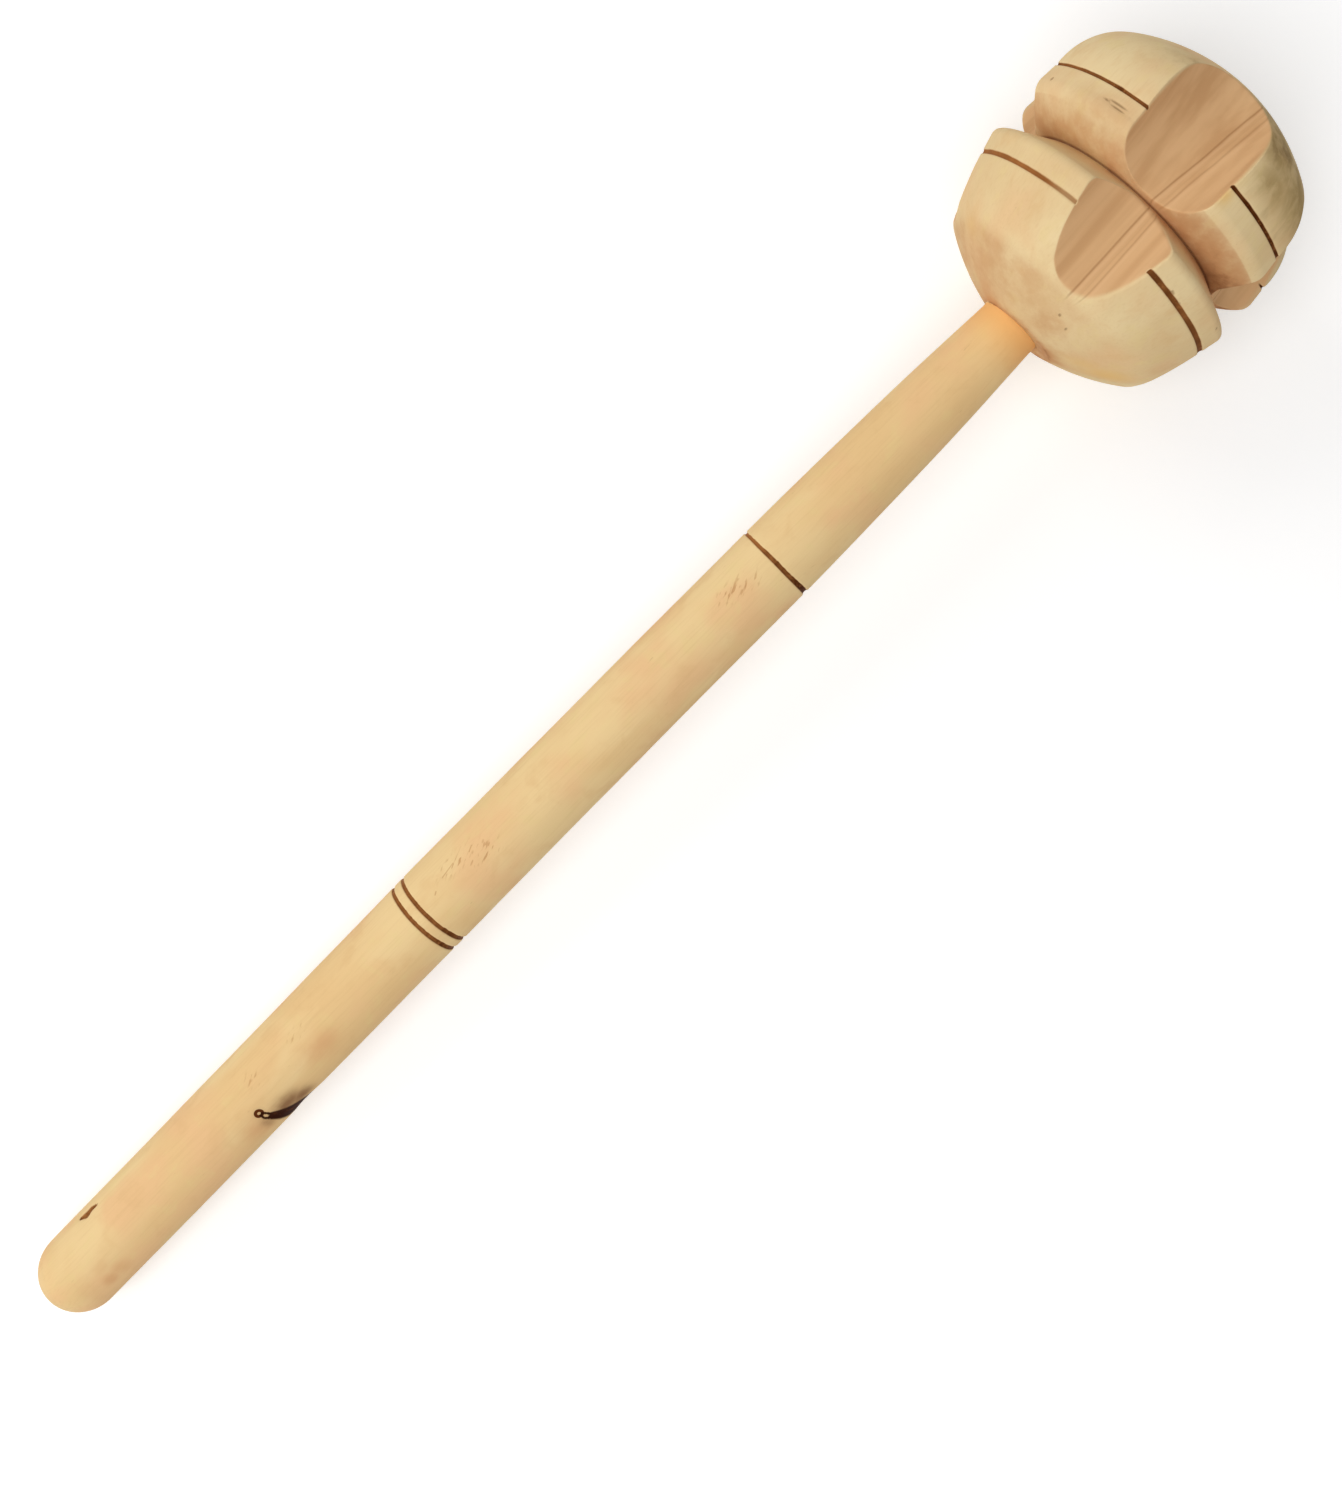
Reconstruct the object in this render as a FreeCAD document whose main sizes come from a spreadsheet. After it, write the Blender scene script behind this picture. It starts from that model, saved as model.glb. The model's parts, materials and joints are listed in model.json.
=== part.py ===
import FreeCAD, Part
import math
import os
import Sketcher

# A turned and carved wooden chocolate whisk, lying as it rests on a table.
# It is two pieces of wood: a handle that ends in a tenon, and a head with a socket for it.
# Lengths are millimetres and angles are degrees. Each piece is turned about its own X axis.

SIZES = {
    # Handle: places are measured along its axis from the rounded butt
    "grip_radius": 9.2,
    "first_ring": 118.5,
    "second_ring": 121.4,
    "single_ring": 223.3,
    "single_ring_radius": 8.85,
    "shoulder_place": 290.9,
    "neck_radius": 6.7,
    "neck_curve": 1340.0,
    "ring_width": 0.8,
    "ring_depth": 0.35,
    # Tenon on the handle and its socket in the head
    "tenon_radius": 5.0,
    "tenon_length": 32.0,
    "tenon_chamfer": 1.0,
    "socket_clearance": 0.05,
    "socket_end_gap": 1.0,
    "seat_depth": 0.6,
    "seat_clearance": 0.1,
    "head_lean": 2.2,
    "lean_pivot": 53.0,
    # Head: places are measured along its axis from its underside
    "underside_radius": 8.4,
    "underside_curve": 52.0,
    "corner_place": 8.1,
    "corner_radius": 25.7,
    "corner_rounding": 4.0,
    "flank_curve": 50.0,
    "lower_line": 19.4,
    "lower_line_radius": 30.5,
    "rim_place": 24.4,
    "rim_radius": 31.9,
    "waist_place": 29.7,
    "waist_radius": 22.6,
    "hollow_curve": 14.1,
    "crease_place": 35.2,
    "crease_radius": 32.0,
    "rim_rounding": 1.6,
    "crease_rounding": 1.2,
    "upper_line": 40.3,
    "upper_line_radius": 31.6,
    "dome_shoulder": 15.5,
    "crown_curve": 43.0,
    "head_length": 62.4,
    "line_width": 1.0,
    "line_depth": 0.55,
    # Flutes: round scoops along each lobe, hand cut, so some sit askew
    "flute_count": 4,
    "flute_radius": 12.0,
    "lower_flute_floor": 24.0,
    "upper_flute_floor": 23.2,
    "lower_left_skew": 3.2,
    "lower_right_skew": -1.5,
    "upper_left_skew": 0.8,
    "upper_right_skew": 10.4,
    # How far a cutter starts clear of the wood
    "cutter_reach": 5.0,
}

doc = FreeCAD.newDocument("Whisk")
sheet = doc.addObject("Spreadsheet::Sheet", "Sizes")


def fill_sheet():
    """One row per driving dimension: its name, its value and the alias that the model uses."""
    for row, (name, number) in enumerate(SIZES.items(), start=1):
        sheet.set(f"A{row}", name)
        sheet.set(f"B{row}", str(number))
        sheet.setAlias(f"B{row}", name)
    doc.recompute()


def size(name):
    """A driving dimension as a number."""
    return float(sheet.get(name))


class Place:
    """A sum of named sizes, kept both as a number and as an expression."""

    def __init__(self, *names):
        self.number = 0.0
        self.expression = "0"
        for name in names:
            alias = name.lstrip("-")
            taken_away = name.startswith("-")
            self.number += -size(alias) if taken_away else size(alias)
            self.expression += f" {'-' if taken_away else '+'} Sizes.{alias}"


class Half(Place):
    """Half of a named size, added to or taken from a place."""

    def __init__(self, place, width, side):
        self.number = place.number + side * size(width) / 2
        self.expression = f"{place.expression} {'+' if side > 0 else '-'} Sizes.{width} / 2"


AXIS = Place()

# How close an edge lies to the place it is looked for, and how much wood a cut may leave
SAME_PLACE = 0.01
UNCUT_SHARE = 0.001


# Sketch helpers

def new_body(name):
    """A body whose sketches lie on its own XY plane, to be turned about X."""
    return doc.addObject("PartDesign::Body", name)


def new_sketch(body, name):
    plane = next(item for item in body.Origin.OriginFeatures if item.Role == "XY_Plane")
    sketch = body.newObject("Sketcher::SketchObject", name)
    sketch.AttachmentSupport = [(plane, "")]
    sketch.MapMode = "FlatFace"
    return sketch


def vector(along, radius):
    return FreeCAD.Vector(along, radius, 0)


def arc_centre(start, end, radius):
    """Centre of the arc that bulges away from the axis as it runs from start to end."""
    chord = end - start
    across = FreeCAD.Vector(chord.y, -chord.x, 0).normalize()
    depth = math.sqrt(radius ** 2 - (chord.Length / 2) ** 2)
    return (start + end) / 2 + across * depth


def circle_arc(centre, start, end):
    """The short way round from start to end, clockwise: it ends where the outline starts it."""
    radius = (start - centre).Length
    circle = Part.Circle(centre, FreeCAD.Vector(0, 0, 1), radius)
    from_angle = math.atan2(end.y - centre.y, end.x - centre.x)
    to_angle = math.atan2(start.y - centre.y, start.x - centre.x)
    return Part.ArcOfCircle(circle, from_angle, to_angle)


# A sketch's own axes and origin, and the points of a line or an arc, by their index
HORIZONTAL_AXIS = -1
VERTICAL_AXIS = -2
START, END, CENTRE = range(1, 4)
ROOT_POINT = (HORIZONTAL_AXIS, START)


def bind(sketch, kind, first, second, place):
    """A distance between two sketch points, driven by a sum of named sizes."""
    index = sketch.addConstraint(Sketcher.Constraint(kind, *first, *second, place.number))
    sketch.setExpression(f"Constraints[{index}]", place.expression)


def hold(sketch, point, along, radius):
    """Hold a point at its place along the axis and its distance from it."""
    for kind, place in (("DistanceX", along), ("DistanceY", radius)):
        if place is AXIS:
            line = HORIZONTAL_AXIS if kind == "DistanceY" else VERTICAL_AXIS
            sketch.addConstraint(Sketcher.Constraint("PointOnObject", *point, line))
        else:
            bind(sketch, kind, ROOT_POINT, point, place)


def bind_radius(sketch, arc, name):
    index = sketch.addConstraint(Sketcher.Constraint("Radius", arc, size(name)))
    sketch.setExpression(f"Constraints[{index}]", f"Sizes.{name}")


def draw_outline(sketch, corners):
    """Draw lines and arcs from corner to corner, and hold every corner.

    A corner is (along, radius, curve): curve names the radius of the arc that leaves it, or is
    None for a straight line. Returns the point that starts each piece of the outline.
    """
    points = [vector(along.number, radius.number) for along, radius, _ in corners]
    starts = []
    ends = []
    for index, (_, _, curve) in enumerate(corners[:-1]):
        start, end = points[index], points[index + 1]
        if curve is None:
            piece = sketch.addGeometry(Part.LineSegment(start, end), False)
            starts.append((piece, START))
            ends.append((piece, END))
        else:
            piece = sketch.addGeometry(circle_arc(arc_centre(start, end, size(curve)), start, end), False)
            starts.append((piece, END))
            ends.append((piece, START))
    for before, after in zip(ends[:-1], starts[1:]):
        sketch.addConstraint(Sketcher.Constraint("Coincident", *before, *after))
    for point, (along, radius, _) in zip(starts + ends[-1:], corners):
        hold(sketch, point, along, radius)
    for (piece, _), (_, _, curve) in zip(starts, corners):
        if curve is not None:
            bind_radius(sketch, piece, curve)
    return starts[0], ends[-1]


def close_with_line(sketch, last, last_spot, first, first_spot):
    """A straight line back from the last point of the outline to the first."""
    line = sketch.addGeometry(Part.LineSegment(last_spot, first_spot), False)
    sketch.addConstraint(Sketcher.Constraint("Coincident", *last, line, START))
    sketch.addConstraint(Sketcher.Constraint("Coincident", line, END, *first))


def turn(body, sketch, kind, name):
    """Turn a sketch about the X axis, as added or as removed wood."""
    feature = body.newObject(kind, name)
    feature.Profile = sketch
    feature.ReferenceAxis = (sketch, ["H_Axis"])
    feature.Angle = 360
    sketch.Visibility = False
    doc.recompute()
    return feature


def cut_line(body, name, along, surface, width, depth):
    """A narrow burned line round the wood, where the outline has its surface radius."""
    before = body.Shape.Volume
    sketch = new_sketch(body, f"{name}_outline")
    left = Half(along, width, -1)
    right = Half(along, width, 1)
    floor = Place(surface, "-" + depth)
    clear = Place(surface, depth)
    corners = [(left, floor, None), (left, clear, None), (right, clear, None), (right, floor, None)]
    first, last = draw_outline(sketch, corners)
    close_with_line(sketch, last, vector(right.number, floor.number),
                    first, vector(left.number, floor.number))
    turn(body, sketch, "PartDesign::Groove", name)
    if not body.Shape.Volume < before:
        raise RuntimeError(f"{name} removed no wood")


def round_edge(body, name, place, radius, rounding):
    """Round the circular edge that lies at a place along the axis."""
    base = body.Tip
    wanted = [
        f"Edge{number}" for number, edge in enumerate(base.Shape.Edges, start=1)
        if not edge.Degenerated and isinstance(edge.Curve, Part.Circle)
        and abs(edge.Curve.Center.x - size(place)) < SAME_PLACE
        and abs(edge.Curve.Radius - size(radius)) < SAME_PLACE
    ]
    fillet = body.newObject("PartDesign::Fillet", name)
    fillet.Base = (base, wanted)
    fillet.setExpression("Radius", f"Sizes.{rounding}")
    doc.recompute()


# Handle: a round stick with a ball end, a tapered neck and a tenon

def make_handle():
    body = new_body("handle")
    sketch = new_sketch(body, "handle_outline")
    tenon_end = Place("shoulder_place", "tenon_length")
    corners = [
        (AXIS, AXIS, "grip_radius"),
        (Place("grip_radius"), Place("grip_radius"), None),
        (Place("second_ring"), Place("grip_radius"), None),
        (Place("single_ring"), Place("single_ring_radius"), "neck_curve"),
        (Place("shoulder_place"), Place("neck_radius"), None),
        (Place("shoulder_place"), Place("tenon_radius"), None),
        (Place("shoulder_place", "tenon_length", "-tenon_chamfer"), Place("tenon_radius"), None),
        (tenon_end, Place("tenon_radius", "-tenon_chamfer"), None),
        (tenon_end, AXIS, None),
    ]
    first, last = draw_outline(sketch, corners)
    close_with_line(sketch, last, vector(tenon_end.number, 0), first, vector(0, 0))
    turn(body, sketch, "PartDesign::Revolution", "handle_turning")
    cut_line(body, "first_ring_line", Place("first_ring"), "grip_radius", "ring_width", "ring_depth")
    cut_line(body, "second_ring_line", Place("second_ring"), "grip_radius", "ring_width", "ring_depth")
    cut_line(body, "single_ring_line", Place("single_ring"), "single_ring_radius",
             "ring_width", "ring_depth")
    body.Label = "handle"
    return body


# Head: two lobes with a waist between them, under a dome

def dome_centres():
    """Centres of the dome's shoulder arc and crown arc, and the point where they meet."""
    edge = vector(size("upper_line"), size("upper_line_radius"))
    shoulder, crown = size("dome_shoulder"), size("crown_curve")
    crown_centre = vector(size("head_length") - crown, 0)
    reach = crown - shoulder
    to_edge = edge - crown_centre
    along = (reach ** 2 - shoulder ** 2 + to_edge.Length ** 2) / (2 * to_edge.Length)
    aside = math.sqrt(reach ** 2 - along ** 2)
    to_edge.normalize()
    shoulder_centre = crown_centre + to_edge * along + FreeCAD.Vector(to_edge.y, -to_edge.x, 0) * aside
    meeting = crown_centre + (shoulder_centre - crown_centre).normalize() * crown
    return shoulder_centre, crown_centre, meeting


def draw_dome(sketch, last):
    """Two tangent arcs from the upper line to the crown; returns the crown's end point."""
    edge = vector(size("upper_line"), size("upper_line_radius"))
    top = vector(size("head_length"), 0)
    shoulder_centre, crown_centre, meeting = dome_centres()
    shoulder = sketch.addGeometry(circle_arc(shoulder_centre, edge, meeting), False)
    crown = sketch.addGeometry(circle_arc(crown_centre, meeting, top), False)
    sketch.addConstraint(Sketcher.Constraint("Coincident", *last, shoulder, END))
    sketch.addConstraint(Sketcher.Constraint("Tangent", shoulder, START, crown, END))
    sketch.addConstraint(Sketcher.Constraint("PointOnObject", crown, CENTRE, HORIZONTAL_AXIS))
    hold(sketch, (crown, START), Place("head_length"), AXIS)
    bind_radius(sketch, shoulder, "dome_shoulder")
    bind_radius(sketch, crown, "crown_curve")
    return crown, START


def make_head_turning():
    """The head as it leaves the lathe, with the seam of its faces midway between two flutes."""
    body = new_body("head_turned")
    sketch = new_sketch(body, "head_outline")
    corners = [
        (AXIS, AXIS, None),
        (AXIS, Place("underside_radius"), "underside_curve"),
        (Place("corner_place"), Place("corner_radius"), "flank_curve"),
        (Place("lower_line"), Place("lower_line_radius"), None),
        (Place("rim_place"), Place("rim_radius"), None),
        (Place("waist_place"), Place("waist_radius"), "hollow_curve"),
        (Place("crease_place"), Place("crease_radius"), None),
        (Place("upper_line"), Place("upper_line_radius"), None),
    ]
    first, last = draw_outline(sketch, corners)
    crown_end = draw_dome(sketch, last)
    close_with_line(sketch, crown_end, vector(size("head_length"), 0), first, vector(0, 0))
    turn(body, sketch, "PartDesign::Revolution", "head_turning")
    round_edge(body, "corner_round", "corner_place", "corner_radius", "corner_rounding")
    round_edge(body, "rim_round", "rim_place", "rim_radius", "rim_rounding")
    round_edge(body, "crease_round", "crease_place", "crease_radius", "crease_rounding")
    cut_line(body, "lower_burned_line", Place("lower_line"), "lower_line_radius",
             "line_width", "line_depth")
    cut_line(body, "upper_burned_line", Place("upper_line"), "upper_line_radius",
             "line_width", "line_depth")
    half_step = 180 / size("flute_count")
    body.Placement = FreeCAD.Placement(
        FreeCAD.Vector(), FreeCAD.Rotation(FreeCAD.Vector(1, 0, 0), half_step))
    doc.recompute()
    return body


FLUTE_NAMES = ("front", "left", "back", "right")


def make_flute_cutter(lobe, number):
    """A round gouge that runs from over the waist along one lobe, parallel to the head's axis."""
    name = FLUTE_NAMES[number] if number < len(FLUTE_NAMES) else str(number)
    skew_name = f"{lobe}_{name}_skew"
    skew = f"Sizes.{skew_name}" if skew_name in SIZES else "0"
    turned = f"(360 / Sizes.flute_count * {number} + {skew})"
    reach = f"(Sizes.{lobe}_flute_floor + Sizes.flute_radius)"
    base = f"vector(Sizes.waist_place; {reach} * sin{turned}; {reach} * cos{turned})"
    if lobe == "upper":
        length = "Sizes.head_length - Sizes.waist_place"
        swing = "rotation(vector(0; 1; 0); 90)"
    else:
        length = "Sizes.waist_place"
        swing = "rotation(vector(0; 1; 0); -90)"
    cutter = doc.addObject("Part::Cylinder", f"{lobe}_{name}_flute")
    cutter.setExpression("Radius", "Sizes.flute_radius")
    cutter.setExpression("Height", f"{length} + Sizes.cutter_reach")
    cutter.setExpression("Placement", f"placement({base}; {swing})")
    return cutter


def make_bore_cutter(name, radius, depth_from_underside):
    """A drill along the handle's axis, which crosses the head's axis at the pivot."""
    cutter = doc.addObject("Part::Cylinder", name)
    cutter.setExpression("Radius", radius)
    cutter.setExpression("Height", f"Sizes.cutter_reach + {depth_from_underside}")
    back = "(Sizes.lean_pivot + Sizes.cutter_reach)"
    base = (f"vector(Sizes.lean_pivot - {back} * cos(Sizes.head_lean);"
            f" {back} * sin(Sizes.head_lean); 0)")
    swing = "rotation(vector(sin(Sizes.head_lean); cos(Sizes.head_lean); 0); 90)"
    cutter.setExpression("Placement", f"placement({base}; {swing})")
    return cutter


def cut_wood(name, wood, cutters):
    """Take cutters that don't touch each other out of the wood, and see that each one cut."""
    tools = doc.addObject("Part::Compound", f"{name}_cutters")
    tools.Links = cutters
    result = doc.addObject("Part::Cut", name)
    result.Base = wood
    result.Tool = tools
    doc.recompute()
    for cutter in cutters:
        had = wood.Shape.common(cutter.Shape).Volume
        left = result.Shape.common(cutter.Shape).Volume
        if had <= 0 or left > had * UNCUT_SHARE:
            raise RuntimeError(f"{cutter.Name} left {left:.3f} of {had:.3f} mm3")
    return result


def make_head():
    """The turned head with its flutes carved and its socket bored."""
    wood = make_head_turning()
    for lobe in ("lower", "upper"):
        flutes = [make_flute_cutter(lobe, number) for number in range(int(size("flute_count")))]
        wood = cut_wood(f"{lobe}_fluted", wood, flutes)
    seat = make_bore_cutter(
        "seat_bore", "Sizes.neck_radius + Sizes.seat_clearance", "Sizes.seat_depth")
    wood = cut_wood("head_with_seat", wood, [seat])
    socket = make_bore_cutter(
        "socket_bore", "Sizes.tenon_radius + Sizes.socket_clearance",
        "Sizes.seat_depth + Sizes.tenon_length + Sizes.socket_end_gap")
    head = cut_wood("head", wood, [socket])
    head.Label = "head"
    return head


# Placing: the whisk lies on the ball of its butt and on both edges of its back flute

def head_on_handle():
    """The head's place on the handle: leaning to +Y about a pivot on the handle's axis."""
    lean = FreeCAD.Rotation(FreeCAD.Vector(0, 0, 1), size("head_lean"))
    pivot = FreeCAD.Vector(size("lean_pivot"), 0, 0)
    underside = FreeCAD.Vector(size("shoulder_place") - size("seat_depth"), 0, 0)
    return FreeCAD.Placement(underside + pivot - lean.multVec(pivot), lean)


def rim_top():
    """The point of the rounded rim that lies furthest from the head's axis."""
    corner = vector(size("rim_place"), size("rim_radius"))
    backward = vector(size("lower_line"), size("lower_line_radius")) - corner
    onward = vector(size("waist_place"), size("waist_radius")) - corner
    inward = backward.normalize() + onward.normalize()
    half_angle = onward.getAngle(inward)
    centre = corner + inward.normalize() * (size("rim_rounding") / math.sin(half_angle))
    return centre + vector(0, size("rim_rounding"))


def resting_tilt():
    """How far the handle's axis rises towards the head, in degrees."""
    ball = size("grip_radius")
    gouge = size("flute_radius")
    reach = size("lower_flute_floor") + gouge
    rim = rim_top()
    edge_height = (rim.y ** 2 + reach ** 2 - gouge ** 2) / (2 * reach)
    along = size("shoulder_place") - size("seat_depth") + rim.x - ball
    span = math.hypot(along, edge_height)
    return math.degrees(math.atan2(edge_height, along) - math.asin(ball / span))


def lay_down(handle, head):
    """Tilt both pieces, then put the middle of their box over the origin and its foot on Z = 0."""
    tilted = FreeCAD.Placement(
        FreeCAD.Vector(), FreeCAD.Rotation(FreeCAD.Vector(0, 1, 0), -resting_tilt()))
    handle.Placement = tilted
    head.Placement = tilted.multiply(head_on_handle())
    doc.recompute()
    box = Part.makeCompound([handle.Shape, head.Shape]).optimalBoundingBox(False)
    shift = FreeCAD.Placement(
        FreeCAD.Vector(-box.Center.x, -box.Center.y, -box.ZMin), FreeCAD.Rotation())
    for piece in (handle, head):
        piece.Placement = shift.multiply(piece.Placement)
    doc.recompute()


def check_document(pieces):
    for item in doc.Objects:
        if "Invalid" in item.State or "Error" in item.State:
            raise RuntimeError(f"{item.Name} failed: {item.State}")
    for piece in pieces:
        if piece.Shape.isNull() or not piece.Shape.isValid():
            raise RuntimeError(f"{piece.Label} has no valid shape")
        if len(piece.Shape.Solids) != 1:
            raise RuntimeError(f"{piece.Label} is {len(piece.Shape.Solids)} solids")


fill_sheet()
handle = make_handle()
head = make_head()
lay_down(handle, head)
check_document((handle, head))
os.makedirs("parts", exist_ok=True)
for piece in (handle, head):
    piece.Shape.exportStep(f"parts/{piece.Label}.step")
    box = piece.Shape.BoundBox
    print(f"{piece.Label}: {piece.Shape.Volume:.1f} mm3,"
          f" {box.XLength:.2f} x {box.YLength:.2f} x {box.ZLength:.2f} mm")
print(f"overlap of handle and head: {handle.Shape.common(head.Shape).Volume:.4f} mm3")
print(f"resting tilt: {resting_tilt():.3f} degrees")
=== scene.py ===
import json
import math

import bpy
import numpy as np
from mathutils import Matrix, Vector, noise


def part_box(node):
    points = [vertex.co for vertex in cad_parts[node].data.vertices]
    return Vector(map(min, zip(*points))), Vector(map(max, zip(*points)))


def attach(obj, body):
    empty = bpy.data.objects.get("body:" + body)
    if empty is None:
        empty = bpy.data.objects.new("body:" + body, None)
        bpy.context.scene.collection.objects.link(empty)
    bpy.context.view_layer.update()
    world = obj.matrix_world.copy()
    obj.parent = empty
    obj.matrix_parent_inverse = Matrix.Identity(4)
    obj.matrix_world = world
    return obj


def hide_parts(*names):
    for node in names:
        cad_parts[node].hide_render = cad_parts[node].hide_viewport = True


# A turned and carved wooden chocolate whisk, lying on a pale floor.
# Shapes are worked out in millimetres, in each piece's own frame: X along its axis, angles from +Z to +Y.

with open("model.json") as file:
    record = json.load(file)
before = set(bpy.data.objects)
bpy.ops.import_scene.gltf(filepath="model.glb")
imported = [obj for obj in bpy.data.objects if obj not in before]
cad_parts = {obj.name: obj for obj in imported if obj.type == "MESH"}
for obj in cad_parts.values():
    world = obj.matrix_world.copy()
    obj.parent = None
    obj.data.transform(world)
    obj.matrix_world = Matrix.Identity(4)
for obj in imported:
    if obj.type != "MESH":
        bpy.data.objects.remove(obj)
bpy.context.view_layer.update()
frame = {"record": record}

MM = 0.001

# Handle: places along its axis from the rounded butt
GRIP_RADIUS = 9.2
FIRST_RING = 118.5
SECOND_RING = 121.4
SINGLE_RING = 223.3
SINGLE_RING_RADIUS = 8.85
SHOULDER_PLACE = 290.9
NECK_RADIUS = 6.7
NECK_CURVE = 1340.0
TENON_RADIUS = 5.0
TENON_LENGTH = 32.0
TENON_CHAMFER = 1.0
TENON_END = SHOULDER_PLACE + TENON_LENGTH
RING_WIDTH = 0.95
RING_DEPTH = 0.3
BOW = 0.55

# Head: places along its axis from its underside
UNDERSIDE_RADIUS = 8.4
UNDERSIDE_CURVE = 52.0
CORNER = (8.1, 25.7)
FLANK_CURVE = 50.0
LOWER_LINE = (19.4, 30.5)
RIM = (24.4, 31.9)
WAIST = (29.7, 22.6)
HOLLOW_CURVE = 14.1
CREASE = (35.2, 32.0)
UPPER_LINE = (40.3, 31.6)
DOME_SHOULDER = 15.5
CROWN_CURVE = 43.0
HEAD_LENGTH = 62.4
LINE_DEPTH = 0.3
SEAT_DEPTH = 0.6
SEAT_RADIUS = 6.8
SOCKET_RADIUS = 5.05
SOCKET_DEPTH = 33.6
HEAD_LEAN = math.radians(2.2)
LEAN_PIVOT = 53.0

# Flutes of the head, seen from the butt: front, left, back and right, each (skew in degrees, floor)
FLUTE_RADIUS = 12.0
LOWER_FLUTES = ((-1.5, 24.0), (3.2, 23.7), (0.0, 24.0), (-1.2, 24.3))
UPPER_FLUTES = ((-0.2, 24.7), (0.8, 24.1), (0.0, 24.2), (10.2, 23.6))
FLUTE_COUNT = len(LOWER_FLUTES)

# How much nearer the axis a flute's floor comes for each millimetre away from the waist
UPPER_TAPER = 0.13
UPPER_SWEEP = 0.0044
LOWER_TAPER = -0.04

# How far the finished surface stays inside the turned size, and the room for its unevenness
SKIN = 0.06
UNEVEN_ROOM = 0.1


# Outlines

def line(start, end, count=40):
    """Points from one place of an outline to the next."""
    return np.linspace(start, end, count)


def arc(start, end, radius, count=80):
    """Points along the arc that bulges away from the axis between two places."""
    start, end = np.array(start, float), np.array(end, float)
    chord = end - start
    length = math.hypot(*chord)
    across = np.array((chord[1], -chord[0])) / length
    centre = (start + end) / 2 + across * math.sqrt(radius ** 2 - (length / 2) ** 2)
    first = math.atan2(*(start - centre)[::-1])
    last = math.atan2(*(end - centre)[::-1])
    if last > first:
        last -= 2 * math.pi
    angles = np.linspace(first, last, count)
    return centre + radius * np.column_stack((np.cos(angles), np.sin(angles)))


def dome():
    """The two arcs from the upper line to the crown, which meet smoothly."""
    edge = np.array(UPPER_LINE)
    crown_centre = np.array((HEAD_LENGTH - CROWN_CURVE, 0.0))
    reach = CROWN_CURVE - DOME_SHOULDER
    to_edge = edge - crown_centre
    distance = math.hypot(*to_edge)
    to_edge /= distance
    along = (reach ** 2 - DOME_SHOULDER ** 2 + distance ** 2) / (2 * distance)
    aside = math.sqrt(reach ** 2 - along ** 2)
    shoulder_centre = crown_centre + to_edge * along + np.array((to_edge[1], -to_edge[0])) * aside
    outwards = shoulder_centre - crown_centre
    meeting = crown_centre + outwards / math.hypot(*outwards) * CROWN_CURVE
    return [arc(UPPER_LINE, meeting, DOME_SHOULDER), arc(meeting, (HEAD_LENGTH, 0), CROWN_CURVE)]


def joined(stretches):
    """One outline from its stretches, without the places that they share."""
    return np.vstack([stretches[0]] + [stretch[1:] for stretch in stretches[1:]])


def path_length(outline):
    steps = np.hypot(*np.diff(outline, axis=0).T)
    return np.concatenate(((0,), np.cumsum(steps)))


def at_length(outline, places):
    """The outline's points at these lengths along it."""
    path = path_length(outline)
    return np.column_stack([np.interp(places, path, outline[:, k]) for k in (0, 1)])


def length_at(outline, place):
    """How far along the outline its nearest point to a place lies."""
    nearest = np.argmin(np.hypot(*(outline - np.array(place)).T))
    return path_length(outline)[nearest]


# How many reaches from a corner its rounding has faded out
ROUNDING_FADE = 1.6


def softened(outline, corners, samples=11):
    """Round an outline's corners: each is (place, reach), averaged over its reach to each side."""
    path = path_length(outline)
    reach = np.zeros(len(path))
    for place, size in corners:
        away = np.abs(path - length_at(outline, place))
        reach = np.maximum(reach, size * np.clip(ROUNDING_FADE - away / size, 0, 1))
    shifts = np.linspace(-1, 1, samples)[:, None] * reach
    return np.mean([at_length(outline, path + shift) for shift in shifts], axis=0)


# How finely the spacing of a mesh's rings and columns is worked out
OUTLINE_SAMPLES = 6000
ANGLE_SAMPLES = 2000


def gathered(start, end, shares, features, samples):
    """Places at these shares of the way, drawn together near features: (place, reach, strength)."""
    fine = np.linspace(start, end, samples)
    density = np.ones_like(fine)
    for place, reach, strength in features:
        density += strength * np.exp(-((fine - place) / reach) ** 2)
    share = np.cumsum(density)
    share = (share - share[0]) / (share[-1] - share[0])
    return np.interp(shares, share, fine)


def ring_places(outline, count, features):
    """Lengths along an outline for the rings of a mesh."""
    return gathered(0, path_length(outline)[-1], np.linspace(0, 1, count), features, OUTLINE_SAMPLES)


# Surface detail

# Steps from the noise of one seed to that of the next
SEED_STEPS = (17.31, 7.7, 3.13)

# How sharply the edge of a soft mark and of a crisp one falls off
SOFT = 2.0
CRISP = 3.0


def waves(points, size, seed):
    """Smooth noise from about -1 to 1 at each point, with waves of about this size."""
    offset = Vector([seed * step for step in SEED_STEPS])
    heights = [noise.noise(Vector(point) / size + offset) for point in points.reshape(-1, 3)]
    return np.array(heights).reshape(points.shape[:-1])


def relief(points, height, size, seed):
    """Unevenness of about this height, in waves of about this size."""
    return height * waves(points, size, seed)


def ridge(distance, width):
    """1 on a line, falling smoothly to 0 about a width away."""
    return np.exp(-(distance / width) ** 2)


def round_points(along, radius, angle):
    """Points in a piece's own frame from place, distance from its axis and angle."""
    return np.stack((along, radius * np.sin(angle), radius * np.cos(angle)), axis=-1)


def turned_from(angle, middle):
    """How far each angle is turned from a middle one, the short way round."""
    return (angle - middle + math.pi) % (2 * math.pi) - math.pi


def spot(along, around, place, size, power=SOFT):
    """1 at a place on the surface, falling to 0 about a size away."""
    off = np.hypot((along - place[0]) / size[0], (around - place[1]) / size[1])
    return np.exp(-off ** power)


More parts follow.
